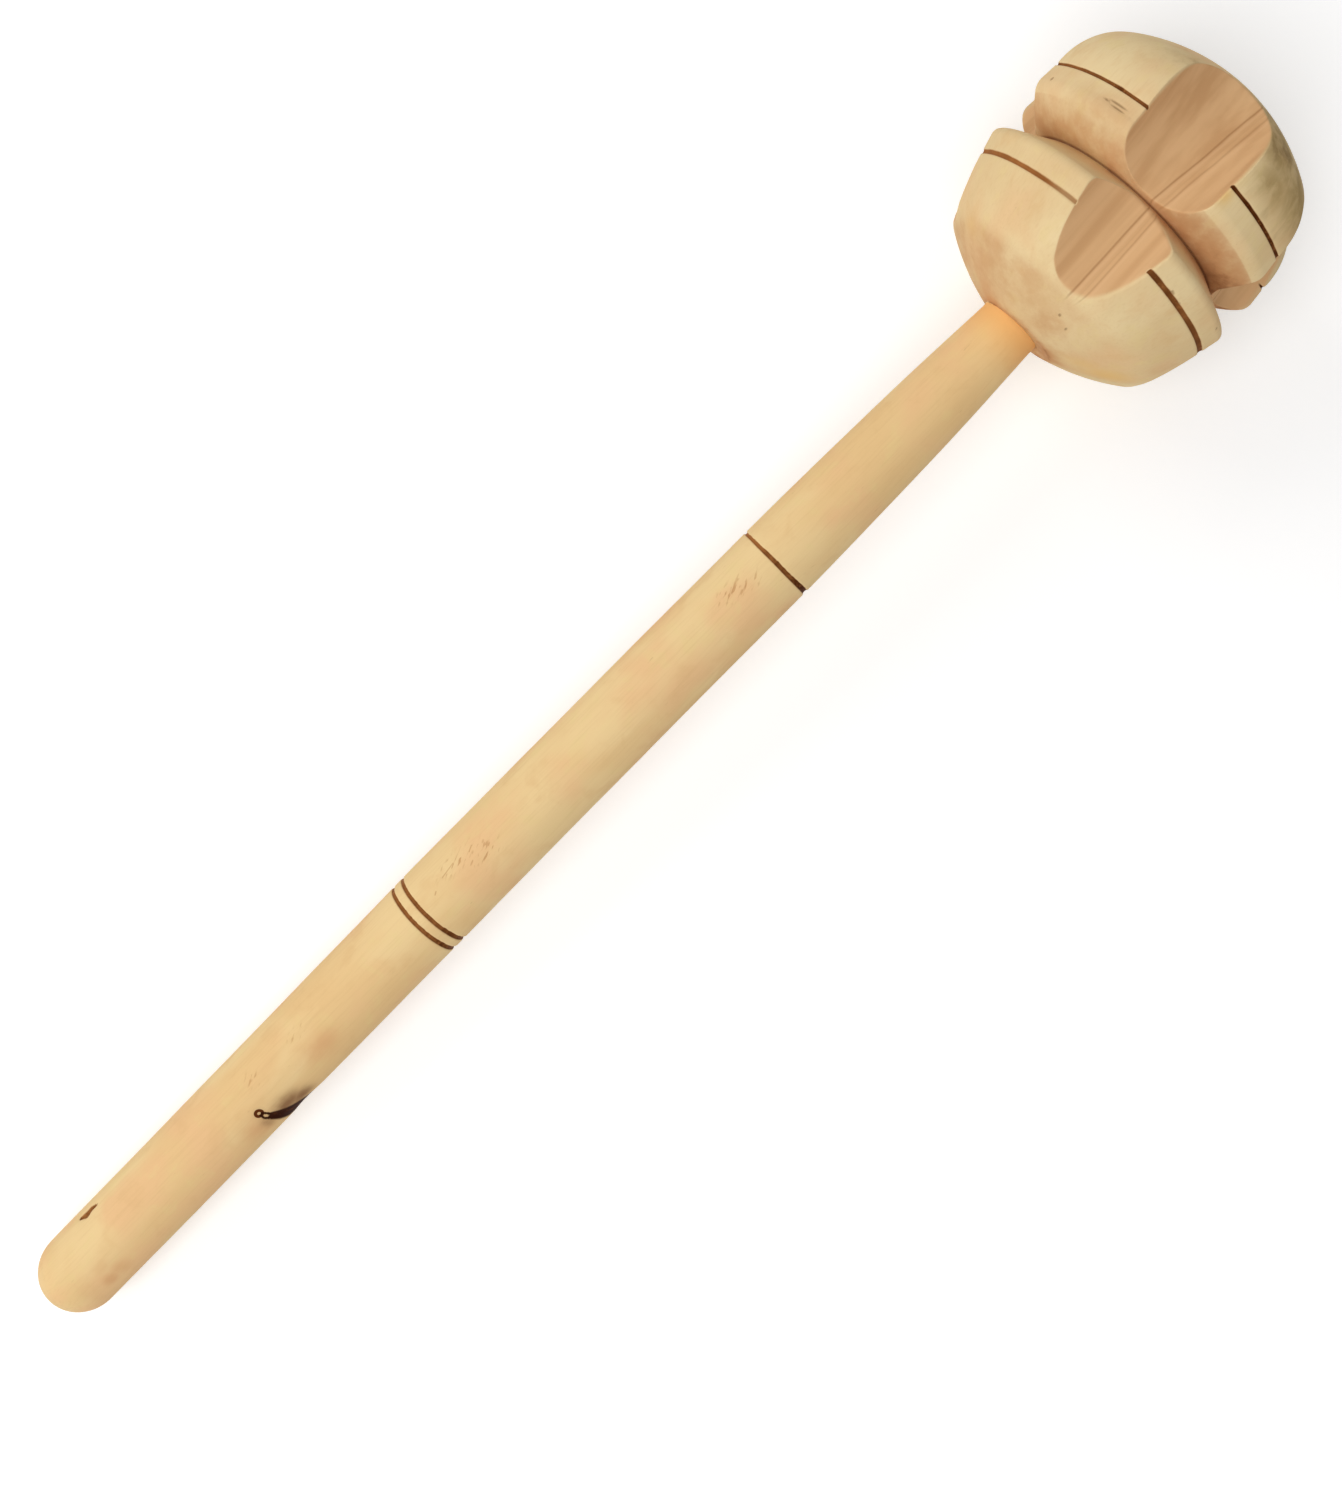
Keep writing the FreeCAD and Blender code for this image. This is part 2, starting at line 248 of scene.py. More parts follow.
def patchwork(along, around, patches):
    """A mask of soft patches: (place, half length and half width, strength)."""
    mask = np.zeros_like(along)
    for place, size, strength in patches:
        mask = np.maximum(mask, strength * spot(along, around, place, size))
    return mask


def stroke(along, around, places, widths):
    """1 on a line through places on the surface, falling to 0 about a width beside it."""
    mark = np.zeros_like(along)
    for start, end, first, last in zip(places[:-1], places[1:], widths[:-1], widths[1:]):
        run = np.subtract(end, start)
        share = ((along - start[0]) * run[0] + (around - start[1]) * run[1]) / (run @ run)
        share = np.clip(share, 0, 1)
        beside = np.hypot(along - start[0] - share * run[0], around - start[1] - share * run[1])
        mark = np.maximum(mark, np.exp(-(beside / (first + (last - first) * share)) ** CRISP))
    return mark


# Burned lines: how quickly they waver, broadly and finely, and how flat they are across
SWAY_SIZE = 0.45
ROUGH_SIZE = 0.06
LINE_POWER = 4


def burned_line(along, angle, place, width, seed, shade_heavy, tone):
    """A burned line's shape and how dark it is: it wavers, and is heavier towards -Y; the extra darkness
    there is painted shade on the side away from the lamps.
    """
    circle = np.stack((np.sin(angle), np.cos(angle), np.full_like(angle, seed * 2.3)), axis=-1)
    sway = waves(circle, SWAY_SIZE, seed)
    rough = waves(circle, ROUGH_SIZE, seed + 1)
    # Painted shade: each line is darker and wider towards -Y, the side away from the lamps
    side = shade_heavy * np.sin(angle)
    off = along - place - 0.10 * sway - 0.03 * rough
    wide = width * (0.5 - 0.4 * side + 0.05 * sway + 0.05 * rough)
    dark = np.clip(tone - 2 * side + 0.3 * sway + 0.25 * rough, 0, 1)
    return np.exp(-np.abs(off / wide) ** LINE_POWER), dark


def burned_lines(along, angle, lines, deep, first_seed):
    """Depth, shape and darkness of lines: each is (place, width, how much heavier to -Y as painted shade,
    tone).
    """
    depth, char, burn = np.zeros((3, *along.shape))
    for number, (place, width, shade_heavy, tone) in enumerate(lines):
        shape, dark = burned_line(along, angle, place, width, first_seed + number, shade_heavy, tone)
        depth += deep * shape
        char = np.maximum(char, shape)
        burn = np.where(np.abs(along - place) < width, dark, burn)
    return depth, char, burn


# Meshes

def ring_mesh(name, place, rings, attributes, first_pole, last_pole):
    """A closed skin over rings of points, in millimetres, with a point at each end, put in its place."""
    count, columns, _ = rings.shape
    points = np.vstack((rings.reshape(-1, 3), first_pole, last_pole)) * MM
    index = np.arange(count * columns).reshape(count, columns)
    beside = np.roll(index, -1, axis=1)
    quads = np.stack((index[:-1], index[1:], beside[1:], beside[:-1]), axis=-1).reshape(-1, 4)
    first, last = count * columns, count * columns + 1
    fans = [(first, a, b) for a, b in zip(index[0], beside[0])]
    fans += [(last, b, a) for a, b in zip(index[-1], beside[-1])]
    mesh = bpy.data.meshes.new(name)
    mesh.from_pydata(points.tolist(), [], quads.tolist() + fans)
    for key, values in attributes.items():
        layer = mesh.attributes.new(key, "FLOAT", "POINT")
        layer.data.foreach_set("value", np.append(values.ravel(), (0, 0)).astype(np.float32))
    own = mesh.attributes.new("own_place", "FLOAT_VECTOR", "POINT")
    own.data.foreach_set("vector", points.astype(np.float32).ravel())
    mesh.polygons.foreach_set("use_smooth", [True] * len(mesh.polygons))
    mesh.transform(place)
    mesh.update()
    piece = bpy.data.objects.new(name, mesh)
    bpy.context.scene.collection.objects.link(piece)
    return piece


# Handle

HANDLE_COLUMNS = 150
HANDLE_RINGS = 640

# Its burned lines: (place, width, how much heavier towards -Y as painted shade, darkness), and their
# first seed
HANDLE_LINES = (
    (FIRST_RING, RING_WIDTH, 0.16, 0.5),
    (SECOND_RING, RING_WIDTH, 0.08, 0.5),
    (SINGLE_RING, RING_WIDTH, 0.3, 0.5))
HANDLE_LINE_SEED = 3

# Its unevenness: (height, size of the waves, seed)
HANDLE_UNEVEN = (0.08, 24, 1)
HANDLE_RIPPLE = (0.014, 3.0, 2)
RIPPLE_STRETCH = (1, 1.4, 1.4)

# The radius over which the unevenness fades out on the ball end, and the least radius of a ring
UNEVEN_FADE = 4
LEAST_RADIUS = 0.02

# Where its columns draw together round the knot, as an angle, and where its rings do
KNOT_COLUMNS = (-0.75, 0.6, 1.1)
RING_GATHER = (1.3, 5.0)
SHOULDER_GATHER = (2.0, 3.0)
KNOT_GATHER = (8.0, 1.2)
BUTT_GATHER = (5.0, 2.0)
TENON_GATHER = (6.0, 2.0)

# How far its two softened corners reach
SHOULDER_SOFT = 0.25
TENON_SOFT = 0.2

# How far the polish at the neck reaches from the shoulder
AMBER_REACH = 7.0


def handle_outline():
    ball_side = (GRIP_RADIUS, GRIP_RADIUS)
    cone_start = (SECOND_RING, GRIP_RADIUS)
    cone_end = (SINGLE_RING, SINGLE_RING_RADIUS)
    shoulder = (SHOULDER_PLACE, NECK_RADIUS)
    return joined([
        arc((0, 0), ball_side, GRIP_RADIUS),
        line(ball_side, cone_start, 200),
        line(cone_start, cone_end, 200),
        arc(cone_end, shoulder, NECK_CURVE, 200),
        line(shoulder, (SHOULDER_PLACE, TENON_RADIUS)),
        line((SHOULDER_PLACE, TENON_RADIUS), (TENON_END - TENON_CHAMFER, TENON_RADIUS)),
        line((TENON_END - TENON_CHAMFER, TENON_RADIUS), (TENON_END, TENON_RADIUS - TENON_CHAMFER)),
        line((TENON_END, TENON_RADIUS - TENON_CHAMFER), (TENON_END, 0)),
    ])


# Marks on the handle: each place is (along it, round it from the top towards +Y)
KNOT_LINE = ((66.8, -7.3), (68.1, -9.5), (69.8, -12.0), (72.0, -14.2), (75.0, -16.0), (79.0, -18.0))
KNOT_WIDTHS = (1.15, 1.75, 2.6, 3.0, 2.5, 1.0)
KNOT_LINKS = (
    ((66.1, -4.6), (66.6, -5.6), (66.9, -6.4)),
    ((65.4, -4.7), (65.3, -5.9), (65.9, -6.9)))
LINK_WIDTHS = (0.32, 0.32, 0.4)
LINK_STRENGTH = 0.75
KNOT_EYE = (65.6, -3.9)
KNOT_DEPTH = 0.22
NICK_LINE = ((19.6, 9.7), (21.6, 8.9), (23.0, 9.3), (24.6, 8.8))
NICK_WIDTHS = (0.4, 0.95, 0.7, 0.35)
NICK_DEPTH = 0.5

# Patches on the handle: place, half length and half width, and strength
SMUDGES = (
    ((15.9, -6.6), (2.4, 2.0), 0.9), ((17.2, -2.6), (2.6, 1.9), 0.6), ((19.3, -6.3), (3.0, 2.6), 0.65),
    ((86.0, -3.6), (5.5, 4.2), 0.7), ((62.4, -6.5), (4.5, 4.5), 0.7), ((10.5, -4.0), (2.0, 3.0), 0.3))
SMOKE = (
    ((70.6, -7.6), (4.4, 2.7), 1.0), ((73.6, -9.4), (3.6, 2.6), 0.9), ((65.0, -7.2), (2.0, 2.6), 0.6),
    ((65.6, -4.2), (1.7, 1.7), 0.4))

# Torn grain: place, half length and half width
SCUFFS = (
    ((212.6, 2.2), (3.6, 2.0)), ((216.2, 1.2), (3.2, 2.6)), ((134.0, 3.6), (5.2, 1.9)),
    ((139.0, 0.4), (4.4, 2.6)), ((84.0, 2.2), (2.4, 1.1)), ((70.2, 2.0), (1.6, 1.8)))


def handle_marks(along, around):
    """Depth of the marks on the handle, and a mask for each kind."""
    knot = stroke(along, around, KNOT_LINE, KNOT_WIDTHS)
    for link in KNOT_LINKS:
        knot = np.maximum(knot, LINK_STRENGTH * stroke(along, around, link, LINK_WIDTHS))
    nick = stroke(along, around, NICK_LINE, NICK_WIDTHS)
    scuff = np.zeros_like(along)
    for place, size in SCUFFS:
        scuff = np.maximum(scuff, spot(along, around, place, size, CRISP))
    masks = {"knot": knot, "nick": nick, "stain": patchwork(along, around, SMOKE),
             "flush": patchwork(along, around, SMUDGES), "scuff": scuff}
    return KNOT_DEPTH * knot + NICK_DEPTH * nick, masks


def handle_angles():
    """The angles of the handle's columns, closer together round the knot."""
    shares = np.arange(HANDLE_COLUMNS) / HANDLE_COLUMNS
    return gathered(-math.pi, math.pi, shares, [KNOT_COLUMNS], ANGLE_SAMPLES)


def handle_features(outline):
    """Where the handle's rings draw together: (length along its outline, reach, strength)."""
    marked = (
        ((FIRST_RING, GRIP_RADIUS), RING_GATHER),
        ((SECOND_RING, GRIP_RADIUS), RING_GATHER),
        ((SINGLE_RING, SINGLE_RING_RADIUS), RING_GATHER),
        ((SHOULDER_PLACE, NECK_RADIUS), SHOULDER_GATHER),
        ((KNOT_LINE[1][0], GRIP_RADIUS), KNOT_GATHER),
        ((0, 0), BUTT_GATHER),
        ((TENON_END, 0), TENON_GATHER))
    return [(length_at(outline, place), *gather) for place, gather in marked]


def make_handle():
    """One closed skin from the ball end to the tenon's end."""
    outline = softened(handle_outline(), [
        ((SHOULDER_PLACE, NECK_RADIUS), SHOULDER_SOFT),
        ((TENON_END - TENON_CHAMFER, TENON_RADIUS), TENON_SOFT)])
    places = ring_places(outline, HANDLE_RINGS + 2, handle_features(outline))[1:-1]
    spots = at_length(outline, places)
    angle, along = np.meshgrid(handle_angles(), spots[:, 0])
    turned = np.repeat(spots[:, 1:], HANDLE_COLUMNS, axis=1)
    points = round_points(along, turned, angle)
    uneven = relief(points, *HANDLE_UNEVEN) * np.minimum(1, turned / UNEVEN_FADE)
    ripple = relief(points * np.array(RIPPLE_STRETCH), *HANDLE_RIPPLE)
    depth, masks = handle_marks(along, angle * GRIP_RADIUS)
    worked = np.clip((SHOULDER_PLACE - along) / 2, 0, 1)
    lines, char, burn = burned_lines(along, angle, HANDLE_LINES, RING_DEPTH, HANDLE_LINE_SEED)
    radius = turned - worked * (SKIN + UNEVEN_ROOM + uneven + ripple + depth) - lines
    rings = round_points(along, np.maximum(radius, LEAST_RADIUS), angle)
    rings[..., 1] += BOW * np.sin(np.clip(along / SHOULDER_PLACE, 0, 1) * math.pi) ** 2
    masks.update(char=char, burn=burn, amber=ridge(along - SHOULDER_PLACE, AMBER_REACH))
    return ring_mesh("handle_visual", handle_frame(), rings, masks, (SKIN, 0, 0), (TENON_END, 0, 0))


# Head

FLUTE_COLUMNS = 62
LAND_COLUMNS = 58
HEAD_RINGS = 190
NARROWEST_FLUTE = math.radians(4.0)
FAR_OUT = 1000.0

# How far the columns of a flute and of the land beside it draw together at their ends
FLUTE_PULL = 0.45
LAND_PULL = 0.6

# How far the crown is worn down, out to this distance from the axis
CROWN_INSET = 0.1
CROWN_REACH = 12

# How far the head's softened corners reach
CORNER_SOFT = 2.4
RIM_SOFT = 1.6
CREASE_SOFT = 1.3
WAIST_SOFT = 0.55

# Where the head's rings draw together: place, reach and strength
HEAD_FEATURES = (
    (LOWER_LINE, 0.9, 4.0), (UPPER_LINE, 0.9, 4.0), (RIM, 1.6, 2.0), (WAIST, 1.0, 4.5),
    (CREASE, 2.4, 2.0), (CORNER, 3.0, 0.8), ((0, UNDERSIDE_RADIUS), 1.5, 2.0))

# Its unevenness: (height, size of the waves, seed)
HEAD_UNEVEN = (0.1, 15, 5)
HEAD_RIPPLE = (0.03, 4, 6)

# The length over which one lobe's flutes give way to the other's
LOBE_BLEND = 1.2


def head_outline():
    edge = (0, UNDERSIDE_RADIUS)
    return joined([
        arc(edge, CORNER, UNDERSIDE_CURVE),
        arc(CORNER, LOWER_LINE, FLANK_CURVE),
        line(LOWER_LINE, RIM),
        line(RIM, WAIST),
        arc(WAIST, CREASE, HOLLOW_CURVE),
        line(CREASE, UPPER_LINE),
    ] + dome())


def lobe_share(along):
    """0 on the lower lobe and 1 on the upper one."""
    share = np.clip((along - WAIST[0] + LOBE_BLEND / 2) / LOBE_BLEND, 0, 1)
    return share * share * (3 - 2 * share)


def flute_cut(number, along):
    """A flute's middle angle and its floor: each lobe's were cut separately, so they don't line up."""
    upper = lobe_share(along)
    lower_skew, lower_floor = LOWER_FLUTES[number]
    upper_skew, upper_floor = UPPER_FLUTES[number]
    above = np.clip(along - WAIST[0], 0, None)
    below = np.clip(WAIST[0] - along, 0, None)
    taper = UPPER_TAPER * above + UPPER_SWEEP * above ** 2 + LOWER_TAPER * below
    skew = lower_skew + (upper_skew - lower_skew) * upper
    floor = lower_floor + (upper_floor - lower_floor) * upper - taper
    return math.radians(360 / FLUTE_COUNT) * number + np.radians(skew), floor


def flute_half_angle(radius, floor):
    """Half the angle that a flute takes up at this distance from the axis."""
    reach = floor + FLUTE_RADIUS
    cosine = (radius ** 2 + reach ** 2 - FLUTE_RADIUS ** 2) / (2 * radius * reach)
    angle = np.arccos(np.clip(cosine, -1, 1))
    return np.where(radius > floor, np.maximum(angle, NARROWEST_FLUTE), NARROWEST_FLUTE)


def column_share(count, pull):
    """Evenly numbered places from 0 to 1, drawn together at both ends."""
    share = np.arange(count) / count
    return share - pull * np.sin(2 * math.pi * share) / (2 * math.pi)


def head_angles(along, radius):
    """Each ring's column angles: they follow the edges of the flutes."""
    edges = []
    for number in range(FLUTE_COUNT):
        centre, floor = flute_cut(number, along)
        half = flute_half_angle(radius, floor)
        edges += [(centre - half)[:, None], (centre + half)[:, None]]
    edges.append(edges[0] + 2 * math.pi)
    parts = []
    for number, (start, end) in enumerate(zip(edges[:-1], edges[1:])):
        is_flute = number % 2 == 0
        count, pull = (FLUTE_COLUMNS, FLUTE_PULL) if is_flute else (LAND_COLUMNS, LAND_PULL)
        parts.append(start + (end - start) * column_share(count, pull))
    return np.hstack(parts)


def flute_surface(along, angle):
    """Distance from the axis to the nearest flute's surface, and how far aside of its middle it is."""
    surface = np.full(angle.shape, FAR_OUT)
    aside = np.zeros(angle.shape)
    for number in range(FLUTE_COUNT):
        centre, floor = flute_cut(number, along)
        reach = floor + FLUTE_RADIUS
        off = turned_from(angle, centre)
        across = reach * np.sin(off)
        inside = (np.abs(across) < FLUTE_RADIUS) & (np.cos(off) > 0)
        depth = np.sqrt(np.clip(FLUTE_RADIUS ** 2 - across ** 2, 0, None))
        reached = np.where(inside, reach * np.cos(off) - depth, FAR_OUT)
        aside = np.where(reached < surface, reached * np.sin(off), aside)
        surface = np.minimum(surface, reached)
    return surface, aside


def smooth_minimum(first, second, rounding):
    overlap = np.clip(rounding - np.abs(first - second), 0, None) / rounding
    return np.minimum(first, second) - overlap ** 2 * rounding / 4


# Lines that the gouge left along each flute: (distance aside of its middle, width, depth)
TOOL_LINES = (
    (-1.6, 0.28, 0.11), (-3.9, 0.26, 0.07), (-2.7, 0.5, -0.05), (2.4, 0.7, 0.03), (5.2, 0.8, 0.05))

# Fine streaks along a flute: (height, size of the waves, seed), and how little they change along it
GOUGE_STREAKS = (0.02, 0.9, 11)
STREAK_ALONG = 0.03

# How far aside the gouge drifted for each millimetre along the upper lobe
TOOL_DRIFT = -0.13

# How soft a flute's edges are: all of them, what wear adds on one side, and less on the upper lobe
CRISP_EDGE = 0.26
EDGE_WEAR = 1.3
UPPER_SPARED = 0.75


def gouge_marks(along, aside):
    """Depth of the lines that the gouge left along a flute."""
    depth = np.zeros_like(along)
    for place, width, deep in TOOL_LINES:
        depth += deep * ridge(aside - place - tool_drift(along), width)
    streaks = np.stack((along * STREAK_ALONG, aside, np.zeros_like(aside)), axis=-1)
    return depth + relief(streaks, *GOUGE_STREAKS)


def tool_drift(along):
    """How far aside the gouge drifted: it swings outwards along the upper lobe."""
    return TOOL_DRIFT * np.clip(along - WAIST[0], 0, None)


def edge_rounding(along, aside):
    """How soft a flute's edge is: crisp on its +Y side, and worn on the other, most on the lower lobe."""
    worn = EDGE_WEAR - UPPER_SPARED * lobe_share(along)
    return CRISP_EDGE + worn * np.clip(0.5 - aside / 6, 0, 1)


# Small cuts and dots on the head: (place along it, angle in degrees, half length, half width)
SLITS = (
    (37.3, 33.0, 0.9, 0.16), (37.7, 28.3, 2.6, 0.17), (36.8, 27.4, 2.0, 0.14), (36.7, 21.6, 0.8, 0.15))
DOTS = (
    (4.4, -10.4, 0.35, 0.22), (36.6, 62.6, 0.45, 0.5), (19.9, -32.0, 0.6, 0.6), (19.6, -38.0, 0.5, 0.5),
    (23.4, -62.0, 0.3, 0.3), (3.6, -20.0, 0.3, 0.25))
CUT_DEPTH = 0.25

# The head's burned lines: (place, width, how much heavier towards -Y as painted shade, darkness), and
# their first seed
HEAD_LINES = ((LOWER_LINE[0], 0.98, 0.16, 0.4), (UPPER_LINE[0], 0.7, 0.17, 0.68))
HEAD_LINE_SEED = 7

# Where the lower line has faded: half length and half angle, and how much of it is gone
FADED_ANGLE = 0.35
FADED_SIZE = (1.0, 0.3)
FADED_SHARE = 0.55

# Tinted wood and painted light: (place along the head, angle in degrees), half length and half width,
# strength
# Pink patches: reddish wood, and painted shade by the seat and by the waist towards -Y
PINK_AND_SHADE = (
    ((14.0, 27.0), (9.0, 4.5), 0.22), ((22.5, 26.0), (3.5, 8.0), 0.3), ((3.0, 50.0), (3.0, 9.0), 0.6),
    ((2.2, -12.0), (2.6, 6.0), 0.7), ((35.5, 34.0), (5.5, 13.0), 0.55), ((39.0, 52.0), (2.2, 7.0), 0.35),
    ((32.6, -30.0), (3.4, 7.0), 0.45), ((13.0, -60.0), (7.0, 7.0), 0.2))
# Honey patches: yellowish wood, and a painted highlight on the corner by the underside
HONEY_AND_HIGHLIGHT = (
    ((4.6, -72.0), (2.4, 3.6), 1.0), ((2.6, -61.0), (1.6, 2.6), 0.6), ((38.3, -20.4), (2.0, 1.4), 1.0),
    ((6.8, 62.0), (1.2, 2.6), 0.4), ((60.0, 0.0), (2.0, 5.0), 0.5))
# Olive patches: discoloured wood, and painted shade on the dome towards -Y
OLIVE_AND_SHADE = (
    ((50.5, -55.0), (8.0, 15.0), 1.0), ((46.0, -33.0), (5.0, 6.0), 0.8), ((54.0, -30.0), (6.5, 9.5), 1.0),
    ((53.0, 25.0), (2.5, 5.0), 0.4))


def tint(along, angle, radius, patches):
    """A mask of patches on the head."""
    mask = np.zeros_like(along)
    for (place, degrees), size, strength in patches:
        around = radius * turned_from(angle, math.radians(degrees))
        mask = np.maximum(mask, strength * spot(along, around, (place, 0), size))
    return mask


def head_cuts(along, angle, radius):
    """A mask of the small cuts and dots."""
    mark = np.zeros_like(along)
    for place, degrees, length, width in SLITS + DOTS:
        around = radius * turned_from(angle, math.radians(degrees))
        mark = np.maximum(mark, spot(along, around, (place, 0), (width, length), CRISP))
    return mark


def blush_and_shade_mask(along, angle, turned):
    """Where the wood is redder and darker: reddish wood in patches, and painted shade by the waist,
    heaviest towards -Y, round the seat and on the underside.
    """
    # Painted shade by the waist, heavier towards -Y, away from the lamps
    shaded_side_weight = 0.82 - 0.7 * np.clip(np.sin(angle), -1, 0.05)
    blush_and_shade = shaded_side_weight * ridge(along - WAIST[0] - 1.2, 3.7) * (turned < RIM[1] - 1)
    # Painted shade round the seat, where the head meets the handle
    seat = ridge(turned - UNDERSIDE_RADIUS + 1, 4.5) + 0.6 * ridge(turned - 8.0, 1.1)
    blush_and_shade += (along < CORNER[0]) * seat
    # Painted shade on the underside, below the corner
    facing = np.clip(0.36 + 0.36 * np.sin(angle + 0.3), 0.12, 0.6)
    blush_and_shade = np.maximum(blush_and_shade, facing * np.clip((CORNER[0] + 0.8 - along) / 2.5, 0, 1))
    return np.maximum(blush_and_shade, tint(along, angle, turned, PINK_AND_SHADE))


def head_skin():
    """The head's outer rings, with a mask for each of its markings."""
    outline = softened(head_outline(), [
        (CORNER, CORNER_SOFT), (RIM, RIM_SOFT), (CREASE, CREASE_SOFT), (WAIST, WAIST_SOFT)])
    features = [(length_at(outline, place), reach, strength) for place, reach, strength in HEAD_FEATURES]
    spots = at_length(outline, ring_places(outline, HEAD_RINGS + 1, features)[:-1])
    angle = head_angles(spots[:, 0], spots[:, 1])
    along = np.repeat(spots[:, :1], angle.shape[1], axis=1)
    turned = np.repeat(spots[:, 1:], angle.shape[1], axis=1)
    points = round_points(along, turned, angle)
    uneven = relief(points, *HEAD_UNEVEN) + relief(points, *HEAD_RIPPLE)
    depth, char, burn = burned_lines(along, angle, HEAD_LINES, LINE_DEPTH, HEAD_LINE_SEED)
    char = char * (1 - FADED_SHARE * spot(along, angle, (LOWER_LINE[0], FADED_ANGLE), FADED_SIZE))
    worked = np.clip((turned - UNDERSIDE_RADIUS - 0.5) / 2, 0, 1) * np.clip(turned / 6, 0, 1)
    cuts = head_cuts(along, angle, turned)
    lathe = turned - worked * (SKIN + UNEVEN_ROOM + uneven + CUT_DEPTH * cuts) - depth
    carved, aside = flute_surface(along, angle)
    carved = carved + SKIN - gouge_marks(along, aside) + 0.4 * uneven - 0.04
    rounding = edge_rounding(along, aside)
    above = lathe - carved
    # The first three masks hold tinted wood together with painted shade and a painted highlight
    masks = {
        "blush_and_shade": blush_and_shade_mask(along, angle, turned),
        "honey_and_highlight": tint(along, angle, turned, HONEY_AND_HIGHLIGHT),
        "olive_and_shade": tint(along, angle, turned, OLIVE_AND_SHADE),
        "char": char * (1 - np.clip((above + depth) / 0.2, 0, 1)),
        "burn": burn,
        "flute": np.clip(above / (0.25 + 0.8 * rounding) + 0.5, 0, 1),
        "trace": np.clip(above / 2.5 + 1, 0, 1) * (np.abs(aside) < 8),
        "aside": aside - tool_drift(along),
        "waist": ridge(along - WAIST[0] + 0.05, 0.17) * (turned < WAIST[1] + 2.5),
        "cuts": cuts,
    }
    skin = round_points(along, smooth_minimum(lathe, carved, rounding), angle)
    skin[..., 0] -= CROWN_INSET * np.clip(1 - turned / CROWN_REACH, 0, 1)
    return skin, masks


def bore_ring(radius, depth, columns):
    """A ring about the handle's axis, in the head's frame, this deep under its underside."""
    angle = np.linspace(0, 2 * math.pi, columns, endpoint=False)
    x = depth - LEAN_PIVOT
    y, z = radius * np.sin(angle), radius * np.cos(angle)
    along = x * math.cos(HEAD_LEAN) + y * math.sin(HEAD_LEAN) + LEAN_PIVOT
    aside = -x * math.sin(HEAD_LEAN) + y * math.cos(HEAD_LEAN)
    return np.stack((along, aside, z), axis=-1)


# How many rings line the socket
SOCKET_RINGS = 6


def make_head():
    """One closed skin: out of the socket, over its seat and round the whole head to its crown."""
    skin, masks = head_skin()
    columns = skin.shape[1]
    tilt_gap = SEAT_RADIUS * math.sin(HEAD_LEAN)
    socket = [bore_ring(SOCKET_RADIUS, depth, columns)
              for depth in np.linspace(SOCKET_DEPTH, SEAT_DEPTH, SOCKET_RINGS)]
    seat = [bore_ring(SEAT_RADIUS, SEAT_DEPTH, columns), bore_ring(SEAT_RADIUS, tilt_gap, columns)]
    seat[1][:, 0] = 0
    inner = np.array(socket + seat)
    rings = np.concatenate((inner, skin))
    bare = np.zeros((len(inner), columns))
    attributes = {key: np.vstack((bare, mask)) for key, mask in masks.items()}
    bottom = bore_ring(0, SOCKET_DEPTH, 1)
    crown = (HEAD_LENGTH - CROWN_INSET - SKIN, 0, 0)
    return ring_mesh("head_visual", head_frame(), rings, attributes, bottom, crown)


# Where the pieces lie: the handle's axis is that of the grip, and its ball end rests on the floor

def handle_frame():
    grip = next(mount for mount in frame["record"]["mounts"] if mount["name"] == "grip")
    tilt = math.asin(-grip["axis"][2])
    low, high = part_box("handle")
    ball = GRIP_RADIUS * MM
    centre = Matrix.Translation((low.x + ball, (low.y + high.y) / 2, low.z + ball))
    return centre @ Matrix.Rotation(-tilt, 4, "Y") @ Matrix.Translation((-ball, 0, 0))


def head_frame():
    underside = Matrix.Translation(((SHOULDER_PLACE - SEAT_DEPTH + LEAN_PIVOT) * MM, 0, 0))
    lean = Matrix.Rotation(HEAD_LEAN, 4, "Z")
    return handle_frame() @ underside @ lean @ Matrix.Translation((-LEAN_PIVOT * MM, 0, 0))


# Materials

def colour(red, green, blue):
    """A colour as picked from a screen, 0 to 255, as the renderer wants it."""
    levels = [channel / 255 for channel in (red, green, blue)]
    linear = [v / 12.92 if v <= 0.04045 else ((v + 0.055) / 1.055) ** 2.4 for v in levels]
    return (*linear, 1.0)


